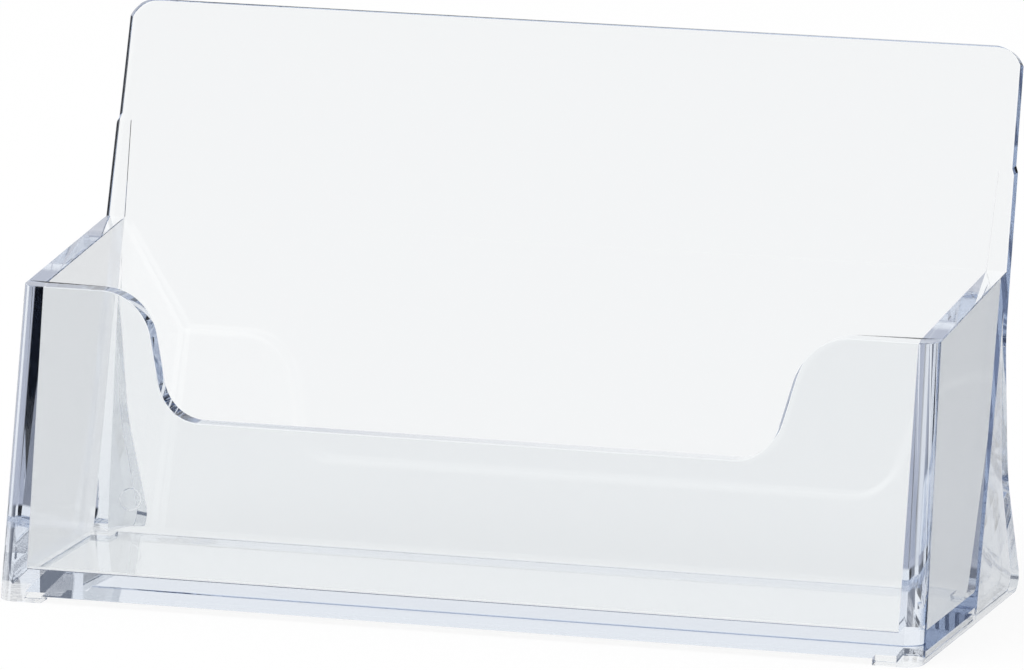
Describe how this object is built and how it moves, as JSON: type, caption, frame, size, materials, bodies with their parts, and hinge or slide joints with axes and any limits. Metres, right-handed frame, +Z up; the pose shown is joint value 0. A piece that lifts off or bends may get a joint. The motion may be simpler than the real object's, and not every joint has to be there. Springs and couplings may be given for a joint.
{
  "type": "business card holder stand",
  "caption": "Clear moulded desk stand with a leaning pocket for standard business cards, a dipped front with a finger notch and thin rear gussets that hold it upright.",
  "frame": {"origin": "on the table under the middle of the stand's bounding box", "axes": "+X to the right along the width as seen from the front, +Y from the front panel to the back panel, +Z up"},
  "size_m": [0.0984, 0.0402, 0.0553],
  "materials": {
    "clear_plastic": "clear, polished as moulded, with a faint cool tint in thick sections"
  },
  "bodies": {
    "root": {"front_panel": "clear_plastic", "back_panel": "clear_plastic", "floor_plate": "clear_plastic", "left_side_wall": "clear_plastic", "right_side_wall": "clear_plastic", "left_rear_gusset": "clear_plastic", "right_rear_gusset": "clear_plastic"}
  },
  "joints": []
}
